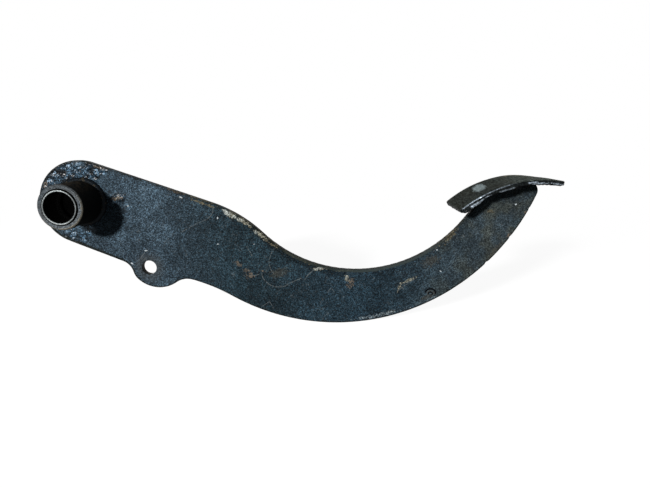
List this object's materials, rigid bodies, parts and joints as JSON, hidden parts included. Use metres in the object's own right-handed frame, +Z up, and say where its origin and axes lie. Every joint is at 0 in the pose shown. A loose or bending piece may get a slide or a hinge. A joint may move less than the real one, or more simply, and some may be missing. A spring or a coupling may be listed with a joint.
{
  "type": "brake pedal",
  "caption": "Steel brake pedal: an S-shaped flat arm with a bushed pivot tube, a lug with a push rod hole and a curved foot pad.",
  "frame": {"origin": "on the pivot axis, half-way through the thickness of the arm", "axes": "+X from the pivot towards the foot pad, -Y along the pivot axis towards the long end of the tube, +Z up, out of the foot pad"},
  "size_m": [0.3482, 0.053, 0.1141],
  "materials": {
    "arm_paint": "worn satin",
    "tube_paint": "worn satin",
    "bush_steel": "satin",
    "weld_paint": "gloss",
    "pad_paint": "satin"
  },
  "bodies": {
    "root": {"pedal_arm": "arm_paint", "pivot_tube": "tube_paint", "bush_front": "bush_steel", "bush_back": "bush_steel", "tube_weld_front": "weld_paint", "tube_weld_back": "weld_paint", "pad_plate": "pad_paint", "pad_weld_front": "weld_paint", "pad_weld_back": "weld_paint"}
  },
  "joints": []
}
